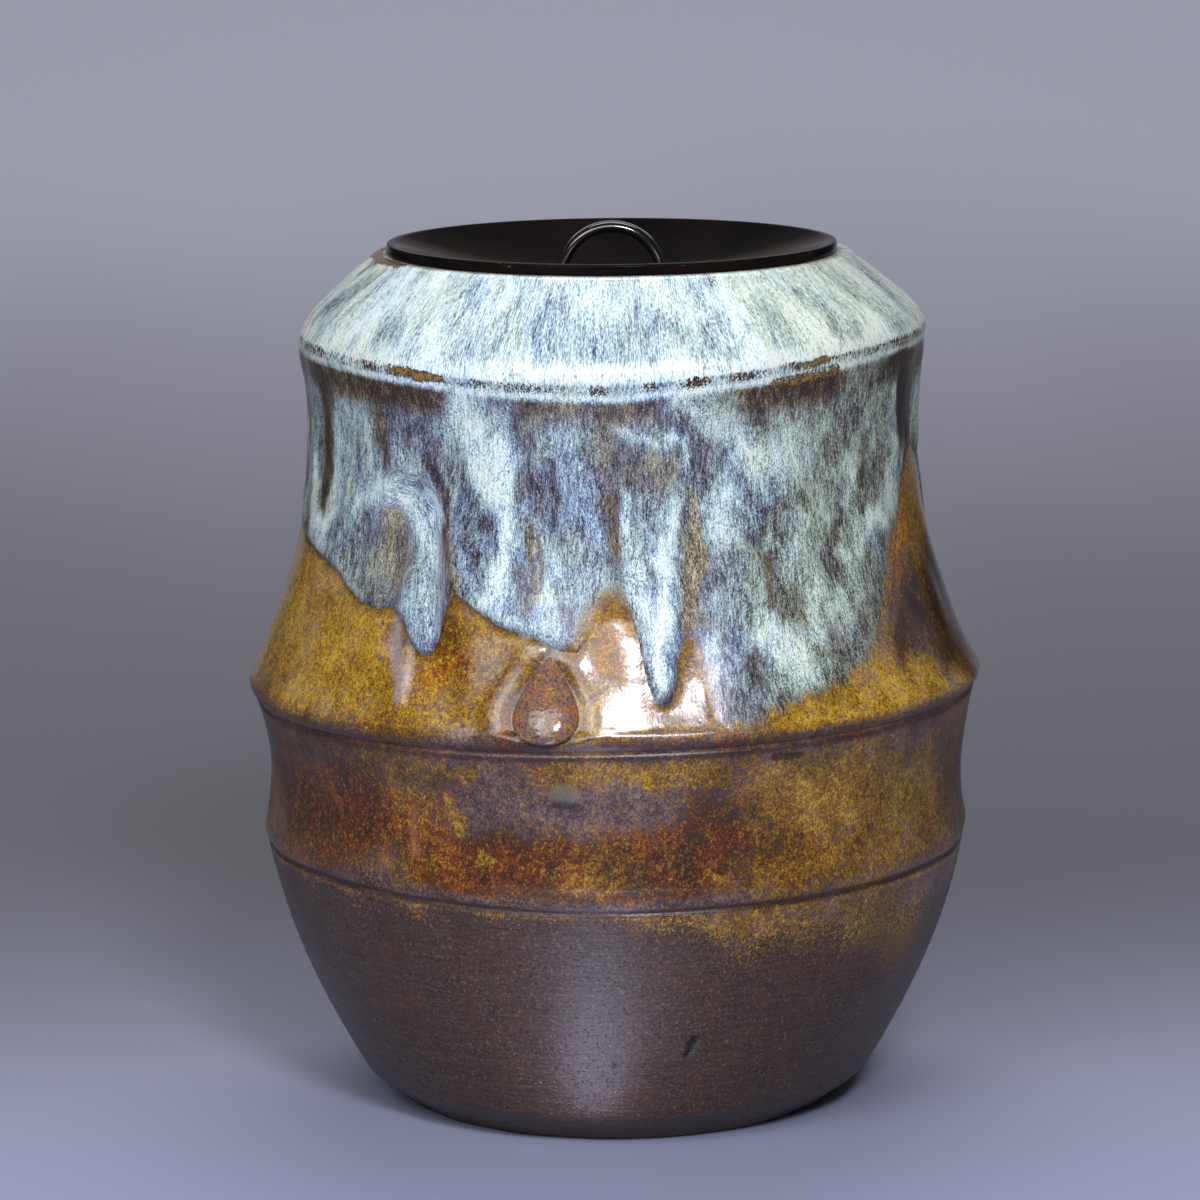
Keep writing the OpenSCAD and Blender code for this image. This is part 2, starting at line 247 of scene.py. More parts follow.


# Strokes in the pale coat, chosen from the photograph: a level, where higher is paler, and the points
# of its line, as azimuth, height and half width in millimetres
PALE = [
    (0.4, (-78, 160, 5), (-77, 142, 5)),
    (0.04, (-66.6, 160, 2), (-66.6, 152, 2.3), (-66.8, 142, 2.2), (-66.9, 136, 1.6)),
    (0.8, (-73.6, 146, 1.6), (-72.6, 136, 1.7), (-69.6, 131.4, 1.6), (-65.6, 131, 1.7), (-62.6, 137, 2.1),
          (-61, 154, 2.4)),
    (0.48, (-57, 158, 6), (-57, 140, 6)), (0.34, (-58, 129.6, 5), (-50, 124.6, 5), (-46, 121.6, 3)),
    (0.18, (-48, 158, 2.6), (-46, 147, 2.8)), (0.22, (-41, 163, 5), (-37, 156, 4.4), (-33.6, 148, 2.4)),
    (0.5, (-43, 152, 1.6), (-39, 147, 1.6)), (0.44, (-43, 136, 4), (-43, 126, 4.6)),
    (0.7, (-54, 137.6, 1.8), (-47.4, 142.2, 2.2), (-41, 141.8, 2.4), (-36.6, 138.6, 2.4), (-34.4, 130, 2.3)),
    (0.6, (-34, 127, 2.2), (-33.2, 116, 2)), (0.34, (-40.6, 132, 1.7), (-39.4, 121.6, 1.5)),
    (0.38, (-33, 113.4, 2.2), (-32.6, 110.6, 1.8)),
    (0.05, (-35.6, 149.6, 1), (-31.6, 141, 0.8), (-30.4, 132, 0.8), (-29.9, 124, 1)),
    (0.76, (-28, 163, 3.4), (-25, 153, 4.2), (-22.4, 145, 3.2)), (0.3, (-26.4, 138, 3), (-24.6, 126, 3)),
    (0.86, (-20.8, 153, 1.8), (-19.2, 143, 1.8), (-19.2, 130, 1.7), (-20.6, 120, 2)),
    (0.62, (-24, 120.8, 1.3), (-16, 117.2, 1.2), (-11, 114.8, 1.5)),
    (0.46, (-8, 158, 6), (-6, 146, 6), (-5, 136, 4)),
    (0.22, (-17.4, 163, 0.6), (-16.8, 153, 0.7), (-16, 145, 0.7)),
    (0.3, (-15, 138, 0.8), (-14.8, 121.6, 0.8)), (0.3, (-13, 135, 0.8), (-12.8, 122, 0.8)),
    (0.14, (-11.2, 151, 0.9), (-10.8, 137, 0.9)), (0.62, (-11.4, 130, 1.6), (-10.8, 116, 1.9)),
    (0.5, (-6.4, 127, 2.4), (-5.8, 117, 2.2)), (0.3, (-1, 150.4, 5), (6, 150.4, 5), (9, 148.6, 3.6)),
    (0.26, (-1.6, 143, 2.4), (0.6, 133, 2)), (0.5, (-2.4, 127, 2.2), (-1.4, 122, 2)),
    (0.66, (0, 156.8, 0.8), (7, 156.5, 0.9), (12, 153.2, 0.9), (13.4, 149.4, 0.8)),
    (0.42, (6.2, 134, 1.4), (6.6, 118, 1.2)), (0.66, (2.6, 141, 1.4), (3.6, 128, 1.6), (5.6, 110, 1.5)),
    (0.8, (10.2, 142.6, 1.6), (9.4, 134, 2.1), (8.6, 122, 2.1), (7.8, 105, 2.1)),
    (0.26, (12.6, 158, 2), (16, 154, 2.6), (19.4, 151, 2)), (0.64, (13, 164, 3.6), (18, 161, 3.6)),
    (0.45, (14.6, 142, 1), (13.8, 133, 2), (12.8, 119, 2.2)), (0.64, (24, 152, 4), (34, 149, 5)),
    (0.78, (19.4, 141, 3.2), (19.6, 136.6, 3.2)), (0.3, (30, 161, 3), (45, 162, 3), (57, 160.6, 3)),
    (0.3, (28, 130, 1.8), (28, 120, 1.8)), (0.2, (53, 150, 2.4), (54, 139, 2.6)),
    (0.05, (45.8, 137, 0.5), (44.8, 134.6, 0.5)), (0.14, (43.6, 132, 0.7)),
    (0.18, (37, 142, 0.5), (36.6, 138, 0.5)), (0.8, (26.5, 113.4, 3.2), (31, 107.6, 2.8)),
    (0.72, (37, 124, 2.4), (36, 113, 2.4)), (0.66, (45, 128, 2), (47, 118, 2.6)),
    (0.8, (53, 134, 2.4), (57, 132.8, 2.2)), (0.7, (62.4, 143, 2.8), (65.4, 148, 2.2)),
    (0.4, (22, 128, 2.6), (20, 112, 2.8)), (0.2, (17.6, 103, 2), (19, 98.6, 2.4), (22.6, 98, 2)),
    (0.3, (51, 126, 3.6), (46, 110, 4.4)), (0.3, (40, 105.6, 3.2)),
    (0.24, (52, 119.6, 2.6), (57.4, 126.6, 2.6)), (-0.5, (66, 169, 3.4), (69.6, 158, 4.4), (72, 149, 3)),
    (0.58, (63.4, 161, 1.3), (65.8, 152, 1.2)),
]
# Where the brown glaze below shows through
OLIVE = [
    (0.65, (-67.2, 161, 2.4), (-67, 150, 2.6), (-66.9, 136, 1.8)),
    (0.6, (-47.4, 157, 2.4), (-46.6, 149, 2.4)), (0.72, (-43, 136, 3.6), (-43, 126, 4)),
    (0.6, (-40.4, 132, 1.6), (-39.6, 122, 1.4)), (0.45, (-46, 121, 4)),
    (0.75, (-31, 138, 0.8), (-29.4, 128, 1), (-29, 122.4, 1.4)),
    (0.62, (-15, 137, 0.9), (-14.8, 120.6, 0.9)), (0.62, (-13, 134, 0.8), (-12.8, 122, 0.8)),
    (0.48, (0, 150.4, 5), (8, 149.6, 4)), (0.62, (-1, 142, 2.4), (0.8, 133, 2)),
    (0.85, (14.8, 142.6, 0.8), (14.2, 133, 1.8), (13, 118, 2)), (0.65, (28, 130, 1.6), (27.8, 119, 1.4)),
    (0.35, (40, 112, 4), (48, 114, 4)), (0.8, (66, 169, 3.4), (70, 157, 4.4), (72, 148, 3)),
]
# Bright amber patches along the shoulder ridge
GOLD = [
    (1, (-43.4, 168, 0.8), (-39, 167.8, 1), (-35, 167.6, 0.9), (-31.6, 167.4, 0.6)),
    (1, (34.6, 169.2, 0.6), (38, 169.6, 0.8), (41.4, 169.9, 0.6)),
    (0.8, (30, 165.8, 1), (36, 166.3, 1.3), (43.4, 167, 1.2)),
]
# Violet-grey clouds on the shoulder
CLOUDS = [
    (0.44, (-48, 175.8, 2.2), (-45.6, 175.6, 2)), (0.66, (-30, 180, 5), (-25, 173.6, 3)),
    (0.62, (-15, 178, 5), (-3, 175, 5)), (0.58, (1, 175, 3), (6, 177, 3)),
    (0.62, (13, 177, 4), (17, 175, 3)), (0.66, (50, 179, 4)),
    (0.4, (-67, 185.4, 1.6), (-72, 181, 2.2), (-78, 176, 2.4)), (0.74, (30, 185, 1.4), (58, 185, 1.4)),
]
# The line of flecks under the shoulder ridge: azimuth, height
SEAM = [
    (-180, 169.5), (-80, 169.6), (-60, 169.2), (-40, 168), (-20, 166.3), (0, 165.8), (20, 167.6),
    (40, 169.6), (60, 171), (80, 171.6), (180, 169.5),
]
# How brown the glaze is below that line: azimuth, level
BROWN = [
    (-180, 0.5), (-100, 0.6), (-76, 0.8), (-70, 0.95), (-35, 0.95), (-29, 0.1), (-18, 0.1), (-16.4, 0.5),
    (7.6, 0.5), (9.4, 0.05), (21, 0.15), (25, 0.95), (44, 0.95), (48, 0.3), (60, 0.4), (64, 1), (80, 1),
    (100, 0.5), (180, 0.5),
]
# Runs whose streaks bend with them
BENDS = [
    [(-43, 142.6, 2.6), (-39, 141.6, 3), (-36, 137.6, 3.4), (-34.4, 130, 3.6), (-33.4, 114, 3.6),
     (-32.8, 100, 3.6)],
]
# How far runs and swellings stand out, in millimetres
LIFT = [
    (0.5, (-77, 150, 3), (-74, 136, 3.4), (-69, 131, 3)),
    (0.9, (-47, 139, 4), (-40, 140.5, 4), (-35.6, 137, 4.4), (-34, 126, 4.4), (-33.2, 112, 3.6)),
    (0.5, (-23, 152, 5), (-19, 140, 4), (-19, 120, 4)), (0.3, (-12, 120, 4), (-10.4, 114, 3.4)),
    (0.5, (4, 155, 4), (11, 153, 4)), (1.1, (9.4, 146, 3), (8.6, 128, 3), (7.6, 104, 3.2)),
    (0.6, (20, 140, 5), (22, 124, 5)), (0.5, (17.5, 117, 3), (18.6, 99, 4)),
    (0.4, (29, 112, 6), (36, 108, 6)), (0.6, (64, 146, 4)),
]


def back_strokes():
    """Runs and gaps of the same kind, for the side that the photograph doesn't show."""
    rng = np.random.default_rng(SEED)
    first, last, apart, top = 86, 272, 13, 163
    pale, olive, lift = [], [], []
    for az in np.arange(first, last, apart):
        a = az + rng.uniform(-3, 3)
        low = float(np.interp(a % 360, HEM_AZ % 360, HEM_Z, period=360))
        start = (a + rng.uniform(-3, 3), top, 4)
        middle = (a + rng.uniform(-2, 2), (top + low) / 2, 3.4)
        path = [start, middle, (a, low + 6, 3)]
        pale.append((rng.uniform(0.55, 0.85), *path))
        lift.append((rng.uniform(0.4, 1.1), *[(x, y, w + 1) for x, y, w in path]))
        side = a + rng.uniform(5, 8)
        gap_top = (side, 160 - rng.uniform(0, 12), 1.6)
        gap = [gap_top, (side + rng.uniform(-2, 2), low + 12 + rng.uniform(0, 8), 1.4)]
        pale.append((rng.uniform(0.16, 0.36), *gap))
        olive.append((rng.uniform(0.2, 0.9), *gap))
        if rng.uniform() < 0.5:
            pale.append((0.85, (a + 4, rng.uniform(128, 150), 3.4)))
    return pale, olive, lift


BACK_PALE, BACK_OLIVE, BACK_LIFT = back_strokes()


# Tones of the wall below the coat, in the same kind of strokes
YELLOW = [
    (0.66, (-78, 118, 14), (-55, 108, 14), (-42, 103, 8)), (0.45, (-28, 106, 6), (-22, 102, 5)),
    (0.35, (-2, 112, 4), (2, 108, 3)), (0.66, (26, 97, 3), (45, 99, 4), (60, 100, 4)),
    (0.54, (-58, 87, 2.2), (-40, 87, 2.4), (-22, 86.6, 2.2)), (0.6, (-7.8, 88, 2.2), (-7.8, 85.6, 2.2)),
    (0.7, (-4, 88, 2.4), (14, 86, 3)), (0.72, (26, 80, 7), (42, 77, 9), (58, 76, 9)),
    (0.55, (24, 64, 5), (40, 65, 6), (56, 66, 5)), (0.85, (14, 64.2, 0.8), (17.4, 63.8, 0.7)),
    (0.95, (-27.4, 80, 0.6), (-26, 76, 0.8), (-25.4, 73, 0.6)), (0.9, (-21.2, 70, 0.5), (-20.6, 67, 0.6)),
    (0.8, (-34.6, 66.6, 0.8)), (0.05, (-66, 76, 7), (-44, 75, 6)),
    (0.05, (-20, 79, 3.6), (-2, 78, 3.6), (8, 79, 3)), (0.55, (-4, 67, 1), (-3.6, 64, 1)),
    (0.5, (6, 54.6, 2.4), (24, 53, 4), (44, 51, 5)), (0.42, (28, 46, 6)), (0.68, (46, 47, 6), (60, 42, 8)),
]
RUST = [
    (0.8, (-29, 112, 5), (-20, 106, 5), (-16, 99, 4)), (0.75, (0, 116, 4), (4, 108, 3)),
    (0.8, (60, 126, 4), (66, 134, 5)), (0.6, (72, 112, 8), (84, 120, 8)),
    (1.1, (-30, 66, 5), (-6, 67, 6), (12, 67, 6)), (1, (-64, 74, 9), (-36, 74, 7)),
    (0, (-22, 79, 4), (-4, 79, 5), (8, 80, 4)), (0.75, (16, 76, 5), (24, 68, 5), (34, 66, 4)),
    (0.55, (70, 80, 8), (80, 74, 8)), (0.3, (-60, 52, 4), (-10, 52, 4), (20, 50, 6)),
    (0.48, (26, 44, 6), (46, 40, 9)), (0.58, (-42, 46, 2.4)), (0.58, (-37, 34, 2.6), (-44, 30, 3)),
]
# Dark brown in that glaze; the heavy strokes towards the sides, most on the right, are partly painted shade
UMBER = [
    (1, (54, 109, 4), (64, 113, 8)), (1.45, (72, 114, 9), (88, 116, 13)),
    (1.1, (68, 105, 5), (88, 104, 9)), (0.4, (-88, 78, 9), (-70, 78, 6)),
    (0.55, (-30, 114, 3), (-22, 110, 4), (-17, 104, 4)), (0.2, (-20, 70, 6), (-4, 69, 6), (12, 69, 5)),
    (0.32, (-56, 86, 4), (-24, 86, 4)), (0.45, (70, 78, 8), (90, 72, 8)), (0.35, (16, 74, 8), (24, 70, 8)),
]


def iron_tones(az, z, glazed=1.0):
    """How yellow, rusty and dark the iron glaze is."""
    yellow = 0.24 + 0.20 * smooth(92, 98, z) + 0.2 * ripple(az, z, 30, 42)
    yellow = paint(yellow * (0.25 + 0.75 * glazed), az, z, YELLOW)
    rust = paint((0.30 + 0.25 * ripple(az, z, 22, 43)) * (0.4 + 0.6 * glazed), az, z, RUST)
    umber = paint(0.12 + 0.12 * ripple(az, z, 24, 44), az, z, UMBER)
    umber = umber + 0.3 * smooth(-38, -60, wrap(az)) * smooth(82, 86, z) * smooth(95, 91, z)
    return yellow, rust, umber


# Meshes

# Share of the unrolled sheet that each closed end takes
UV_END = 0.004


def add_object(name, data):
    made = bpy.data.objects.new(name, data)
    bpy.context.scene.collection.objects.link(made)
    return made


def make_piece(name, points, faces, uv, fields):
    """A smooth mesh object, with an unrolled place for each corner and fields for its points."""
    mesh = bpy.data.meshes.new(name)
    mesh.from_pydata(points.tolist(), [], faces)
    mesh.shade_smooth()
    layer = mesh.uv_layers.new(name="OFBake")
    layer.data.foreach_set("uv", uv.astype(np.float32).ravel())
    for field, values in fields.items():
        values = values.reshape(len(points), -1).astype(np.float32)
        kind, part = ("FLOAT_VECTOR", "vector") if values.shape[1] == 3 else ("FLOAT", "value")
        mesh.attributes.new(field, kind, "POINT").data.foreach_set(part, values.ravel())
    mesh.update()
    return add_object(name, mesh)


def stand_in(piece, node, body):
    """Puts a piece in the place of a solid."""
    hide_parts(node)
    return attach(piece, body)


def round_axis(az, radius, height):
    """Points in metres from azimuth, radius and height."""
    a = np.radians(az)
    return np.stack([radius * np.sin(a), -radius * np.cos(a), height], -1).reshape(-1, 3) * MM


def ring_faces(rows, columns):
    """Faces between rings of points, and their corners' unrolled places."""
    row, column = np.indices((rows - 1, columns)).reshape(2, -1)
    row = np.stack([row, row, row + 1, row + 1], -1)
    column = np.stack([column, column + 1, column + 1, column], -1)
    v = np.linspace(UV_END, 1 - UV_END, rows)
    return row * columns + column % columns, np.stack([column / columns, v[row]], -1)


def cap_faces(first, columns, tip, ring_v, tip_v):
    """Faces from a ring of points to a tip, and their corners' unrolled places."""
    column = np.arange(columns)[:, None] + [0, 1]
    faces = np.column_stack([first + column % columns, np.full(columns, tip)])
    u = np.column_stack([column, column.mean(1)]) / columns
    return faces, np.stack([u, np.tile([ring_v, ring_v, tip_v], (columns, 1))], -1)


def closed_mesh(name, az, radius, height, fields):
    """Rings of points round the jar's axis, closed by a point on it at each end."""
    rows, columns = radius.shape
    count = rows * columns
    last = count - columns
    faces, uv = ring_faces(rows, columns)
    low, low_uv = cap_faces(0, columns, count, UV_END, 0.0)
    high, high_uv = cap_faces(last, columns, count + 1, 1 - UV_END, 1.0)
    # The first cap faces down, so its corners run the other way
    low, low_uv = low[:, [1, 0, 2]], low_uv[:, [1, 0, 2]]
    faces = faces.tolist() + low.tolist() + high.tolist()
    uv = np.concatenate([part.reshape(-1, 2) for part in (uv, low_uv, high_uv)])
    tips = [[0, 0, height[end].mean() * MM] for end in (0, -1)]
    points = np.concatenate([round_axis(az, radius, height), tips])
    fields = {n: f.reshape(count, -1) for n, f in fields.items()}
    fields = {n: np.concatenate([f, f[[0, last]]]) for n, f in fields.items()}
    return make_piece(name, points, faces, uv, fields)


def open_mesh(name, az, radius, height, fields, keep):
    """Rings of points round the jar's axis, with only the faces that have a point to keep."""
    rows, columns = radius.shape
    quads, uv = ring_faces(rows, columns)
    used = keep.reshape(-1)[quads].any(1)
    kept = np.unique(quads[used])
    number = np.full(rows * columns, -1)
    number[kept] = np.arange(len(kept))
    fields = {n: f.reshape(rows * columns, -1)[kept] for n, f in fields.items()}
    points = round_axis(az, radius, height)[kept]
    return make_piece(name, points, number[quads[used]].tolist(), uv[used], fields)


def flow_field(az, z, run, bends=()):
    """Place for the streaks' noise: round the jar, and the length run down it or along a near bend."""
    a = np.radians(az)
    place = np.stack(np.broadcast_arrays(MEAN_R * np.cos(a), MEAN_R * np.sin(a), run), -1)
    for points in bends:
        share, side, length = along(az, z, points)
        a0 = math.radians(points[0][0])
        x, y = math.cos(a0), math.sin(a0)
        local = np.stack([MEAN_R * x - side * y, MEAN_R * y + side * x, jar_top - points[0][1] + length], -1)
        place = lay(place, local, (1 - smooth(0.9, 1.9, share))[..., None])
    return place


def run_length(radius, height, pace=1.0):
    """Length run along a section, from its first point."""
    steps = np.hypot(np.diff(radius), np.diff(height)) * pace
    return np.concatenate([[0], np.cumsum(steps)])[:, None]


def rows_between(stops):
    """Heights from stop to stop, each stretch (start, end, step)."""
    parts = [np.arange(a, b, s if b > a else -s) for a, b, s in stops]
    return np.concatenate(parts + [[stops[-1][1]]])


# The pale ash coat

# Its rows over the lip: out from the lip's edge, down from the top, how far the depth points outward
OVER_LIP = [(-3.4, 0.2, 0), (-3.1, 0, 0), (-2.0, 0, 0.1), (-1.2, 0.2, 0.5), (-0.4, 0.7, 0.8)]
COAT_ROWS = [(186.1, 174, 0.8), (174, 163, 0.5), (163, 90, 0.85)]
# The streaks are longer on the shoulder, above this height
CONE_Z, CONE_PACE = 168, 0.6


def coat_depth(az, z, height, inside, width):
    """Thickness of the coat, with a bead or a fade at its edge. Past that it dips into the wall."""
    lift = paint(np.zeros_like(az), az, height, LIFT + BACK_LIFT)
    body = 0.42 + 0.12 * ripple(az, height, 16, 3) + lift * (1 - smooth(165, 171, height))
    body *= 1 - 0.5 * smooth(2.2, 5, width) * (1 - smooth(0, 12, inside))
    edge = np.clip(inside / width, 0, 1)
    depth = body * np.sqrt(np.clip(1 - (1 - edge) ** 2, 0, 1))
    depth *= 0.3 + 0.7 * smooth(LIP_Z, 184.6, z)
    depth[0] = -0.3
    return np.where(inside < 0, np.maximum(inside * 0.5, -0.5), depth)


def coat_pale(az, height, seam, band):
    """How pale the coat is, with a band along the shoulder ridge's crest that is partly a painted highlight.
    """
    ridge = ridge_line(az, SHOULDER_Z)
    pale = np.where(height > ridge, 0.82 - 0.12 * sector(az, 15, 50, 70, 120), 0.375)
    pale = pale + 0.16 * ripple(az, height, 18, 5) + 0.08 * ripple(az, height, 7, 13)
    pale = paint(pale, az, height, PALE + BACK_PALE + CLOUDS)
    # Paler along the shoulder ridge's crest: partly the glaze, partly a painted highlight
    pale = lay(pale, 0.98, bell(height - ridge - 0.4, 2.0) * smooth(0.2, 1.2, seam))
    pale = lay(pale, 0.03, band * (0.75 + 0.2 * ripple(az, height, 12, 7)))
    pale = lay(pale, 0.62, bell(seam + 0.3, 0.9))
    return lay(pale, 0.85, bell(seam + 1.7, 0.8))


def coat_lip(az, z, height):
    """Brown specks below the lip, and brown on its top towards the left and the back."""
    specked = 0.16 + 0.2 * sector(az, 6, 16, 45, 60)
    specked = specked + 0.2 * ripple(az, height, 15, 9) + 0.2 * ripple(az, height, 5, 10)
    browned = 0.9 * sector(az, -150, -120, -70, -46) + 0.3 * smooth(30, 80, np.abs(wrap(az)))
    return smooth(183.2, 186, z) * specked + smooth(186.5, 187.3, z) * browned


def coat_tones(az, z, height, inside, width):
    """The coat's fields of colour."""
    seam = height - between(SEAM, az)
    band = smooth(-2.4, -3.2, seam) * smooth(-11, -4.5, seam) * between(BROWN, az)
    fleck = 0.76 + 0.14 * sector(az, -80, -66, -40, -20)
    fleck = fleck + 0.3 * ripple(az, height, 9, 6) + 0.2 * ripple(az, height, 31, 12)
    olive = paint(0.1 + 0.1 * ripple(az, height, 22, 4), az, height, OLIVE + BACK_OLIVE)
    cream = 0.2 + 0.65 * sector(az, 8, 40, 60, 130) + 0.3 * sector(az, -130, -90, -70, -40)
    soft = smooth(2.2, 5, width)
    yellow, rust, umber = iron_tones(az, height)
    return dict(
        yellow=yellow, rust=rust, umber=umber,
        pale=coat_pale(az, height, seam, band),
        olive=lay(olive, 1.0, band),
        gold=paint(np.zeros_like(az), az, height, GOLD, 0.3),
        cream=cream + 0.2 * ripple(az, height, 30, 8),
        fade=(1 - smooth(-0.2, 1, inside / (width * 1.6))) * soft,
        # rim: dark outline along the beaded edge, partly pooled glaze, partly painted shade
        rim=bell(inside, 0.6) * (1 - soft),
        fleck=fleck * np.exp(-(seam / 1.4) ** 4),
        lip=coat_lip(az, z, height))


def make_coat():
    out, below, aim = np.array(OVER_LIP).T
    rows = np.concatenate([jar_top - below, rows_between(COAT_ROWS)])
    columns = np.arange(0, 360, 0.5)
    az, z = np.meshgrid(columns, rows)
    wall, outward = out_r(rows), np.ones_like(rows)
    wall[:len(out)] = out_r(LIP_Z) + out
    outward[:len(out)] = aim
    height = z + hand_shift(az, z)
    inside, width = hem_distance(az, height), between(HEM_SOFT, az)

    fields = coat_tones(az, z, height, inside, width)
    run = run_length(wall, rows, np.where(rows[1:] > CONE_Z, CONE_PACE, 1))
    sway = 1.1 * ripple(az, height, 34, 21) + 0.35 * ripple(az, height, 11, 22)
    fields["flow"] = flow_field(az + sway / DEG_MM, height, run, BENDS)
    depth = coat_depth(az, z, height, inside, width)
    radius = wall[:, None] + depth * outward[:, None]
    raised = height + depth * np.sqrt(1 - outward ** 2)[:, None]
    piece = open_mesh("ash_coat", columns, radius, raised, fields, inside > -1.6)
    piece.data.flip_normals()
    return stand_in(piece, "glaze_coat", "jar")


# The drop of amber glaze: its tip and low end, its azimuth, half width and how far it stands out
DROP_TIP, DROP_LOW, DROP_AZ, DROP_HALF, DROP_OUT = 112.4, 93.4, -10.6, 7.0, 3.6


def drop_half(s):
    """Half width of the drop, from its tip at 0 to its round end at 1."""
    t = np.arccos(1 - 2 * s)
    return DROP_HALF * np.sin(t) * np.sin(t / 2) ** 1.7 / 0.67


def drop_distance(az, z):
    """Millimetres outside the drop's outline."""
    wall_r, slant = 77, 0.85
    s = np.clip((DROP_TIP - z) / (DROP_TIP - DROP_LOW), 0, 1)
    x = np.abs(wrap(az - DROP_AZ)) * math.radians(1) * wall_r
    beyond = np.maximum(z - DROP_TIP, DROP_LOW - z)
    return np.where(beyond > 0, np.hypot(np.maximum(beyond, 0), x), (x - drop_half(s)) * slant)


def make_drop():
    down = (1 - np.cos(np.linspace(0.02, 1, 60) * np.pi)) / 2
    across = np.sin(np.linspace(-1, 1, 49) * np.pi / 2)
    s, x = np.meshgrid(down, across, indexing="ij")
    z = DROP_TIP - s * (DROP_TIP - DROP_LOW)
    half = drop_half(s)
    crown = np.sqrt(np.clip(1 - x ** 2, 0, 1)) * (0.75 + 0.35 * s)
    sunk = 0.35
    out = DROP_OUT * (half / DROP_HALF) ** 0.75 * crown - sunk
    az = DROP_AZ + np.degrees(x * half / out_r(z))
    points = round_axis(az, out_r(z) + out, z + hand_shift(DROP_AZ, z))
    index = np.arange(s.size).reshape(s.shape)
    quads = np.stack([index[:-1, :-1], index[1:, :-1], index[1:, 1:], index[:-1, 1:]], -1).reshape(-1, 4)
    uv = np.stack([(x + 1) / 2, 1 - s], -1).reshape(-1, 2)[quads.ravel()]
    piece = make_piece("amber_drop", points, quads.tolist(), uv, dict(flow=points / MM))
    return stand_in(piece, "glaze_drop", "jar")


# The stoneware jar

# Heights of its rings, outside and inside
WALL_ROWS = [(0.2, 20, 1.05), (20, 28, 0.6), (28, 56, 1.05), (56, 64, 0.45), (64, 86, 0.8), (86, 97, 0.4),
             (97, 140, 0.85), (140, 165, 1.5), (165, 174, 0.7), (174, 184, 1.5), (184, LIP_Z, 0.5)]
INNER_ROWS = [(185, 160, 2), (160, 12, 4.0), (12, 8.6, 0.8)]
FLOOR_Z, FLOOR_RISE, FOOT_RING = 8.0, 0.3, 9.3
UNDER, WALL, LIP, INNER = range(4)
# Scars that are cut into the wall: the fired slit, a pit and a chip, drawn near black as painted shade
# inside them
SCARS = [
    (1, (14.2, 26.6, 1.15), (13, 22.8, 0.7)), (0.8, (-0.4, 20.8, 0.7), (0.4, 20.8, 0.6)),
    (0.8, (25, 88.9, 0.8), (29.5, 88.7, 0.8)),
]
# A red streak, a bead of glaze with its painted shadow, and a thin milky run painted paler as a sheen of
# light, with the swelling that it lies on
RED = [(0.55, (-33.6, 77, 0.9), (-33.4, 69, 1))]
BEAD, BEAD_SHADE = [(-8.8, 82.8, 2.4), (-7.2, 82.8, 2.4)], [(-9.6, 80, 0.7), (-6.4, 80, 0.7)]
MILK_SHEEN = [(0.62, (-39.4, 117.6, 1.1), (-37.8, 110, 1.3), (-35.6, 101.4, 1.1))]
MILK_SWELL = [(-36.6, 116, 2), (-36, 108, 2.6), (-35.6, 99, 2)]


def clay_section():
    """The jar's section from under its foot to its floor: radius, height and zone."""
    tip = out_r(0.1)
    ring = tip - FOOT_RING
    hollow = jar_tree.ray_cast(Vector((3, 2, -5)), Vector((0, 0, 1)))[0].z
    under = [(0.6, hollow), (ring * 0.5, hollow), (ring - 0.4, hollow), (ring, hollow - 0.5)]
    under += [(ring + 0.3, jar_foot + 0.3), (ring + 0.9, jar_foot)]
    under += [(tip - 1.2, jar_foot), (tip - 0.3, jar_foot + 0.06)]
    wall = [(out_r(z), z) for z in rows_between(WALL_ROWS)]
    edge, mouth = out_r(LIP_Z), IN_R[IN_Z > LIP_Z - 0.2][0]
    lip = [(edge - 0.4, jar_top - 0.7), (edge - 1.2, jar_top - 0.2), (edge - 2.2, jar_top)]
    lip += [(mouth + 1.0, jar_top), (mouth + 0.3, jar_top - 0.2), (mouth, jar_top - 0.9)]
    inner = [(in_r(z), z) for z in rows_between(INNER_ROWS)]
    inner += [(inner[-1][0] * k, FLOOR_Z + FLOOR_RISE * k) for k in (0.9, 0.6, 0.3, 0.05)]
    parts = ((UNDER, under), (WALL, wall), (LIP, lip), (INNER, inner))
    return np.array([(r, z, zone) for zone, part in parts for r, z in part]).T


def clay_relief(az, height, run, inside, bead, cut):
    """How far the wall stands out: swellings, lumps and wheel marks, less the scars."""
    around = drop_distance(az, height)
    swell = 0.5 * bell(around - 3.4, 2.6) * (around > -2) * smooth(92, 95, height)
    groove = -0.25 * bell(around - 0.1, 0.8)
    streak = 0.75 * (1 - smooth(0, 1.2, line_distance(az, height, MILK_SWELL)))
    lumps = 0.16 * ripple(az, height, 26, 31)
    lumps = lumps + (0.03 + 0.14 * smooth(94, 100, height)) * ripple(az, height, 16, 32)
    wheel = 0.05 * np.sin(run * 2.1 + 1.5 * np.sin(np.radians(az))) * smooth(60, 50, height)
    free = smooth(0.5, -1.5, inside)
    return (swell + groove + streak + lumps + bead) * free + wheel - 0.5 * cut


